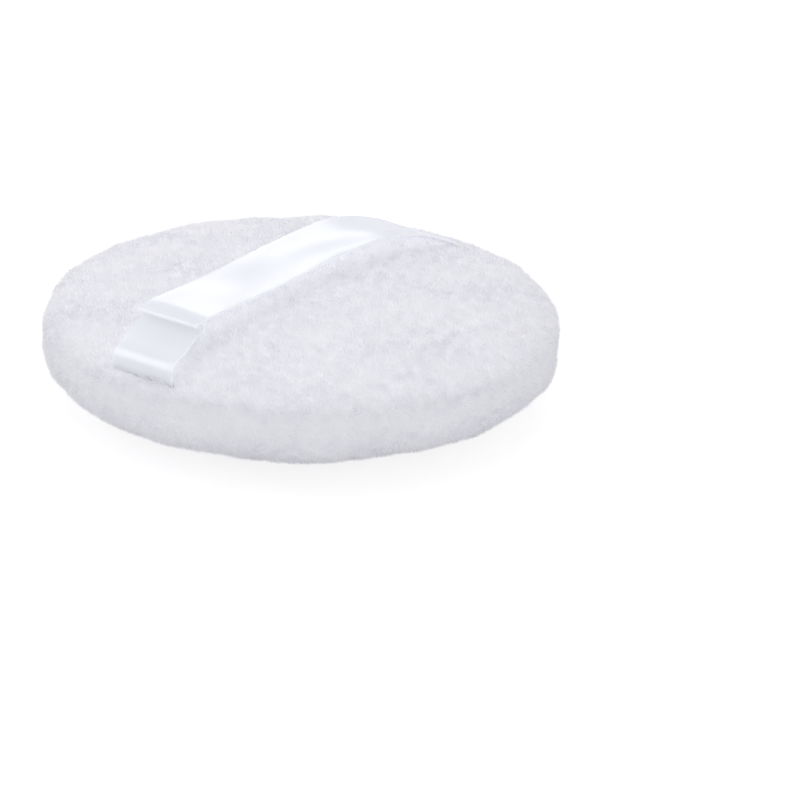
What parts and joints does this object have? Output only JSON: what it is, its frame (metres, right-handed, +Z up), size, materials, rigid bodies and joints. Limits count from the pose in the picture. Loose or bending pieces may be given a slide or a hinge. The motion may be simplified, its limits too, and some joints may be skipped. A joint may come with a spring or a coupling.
{
  "type": "powder puff",
  "caption": "Round plush powder puff with a domed, softly filled body, a seam round its rim and a satin ribbon across the back to hold it by.",
  "frame": {"origin": "on the resting surface, under the centre of the puff, with its powder face down", "axes": "+Z up out of the ribbon side, +X along the ribbon, +Y across it"},
  "size_m": [0.1033, 0.1038, 0.0333],
  "materials": {
    "plush": "soft white pile, matt",
    "satin": "white satin weave, glossy",
    "wadding": "loose white fibre, matt",
    "thread": "white sewing thread"
  },
  "bodies": {
    "puff": {"front_cover": "plush", "back_cover": "plush", "filling": "wadding", "seam_thread": "thread", "closing_thread": "thread"},
    "ribbon": {"ribbon_handle": "satin"}
  },
  "joints": [
    {"name": "ribbon_lift", "type": "slide", "parent": "puff", "child": "ribbon", "axis": [0, 0, 1], "range_m": [0, 0.01], "deforming": ["ribbon_handle"]}
  ]
}
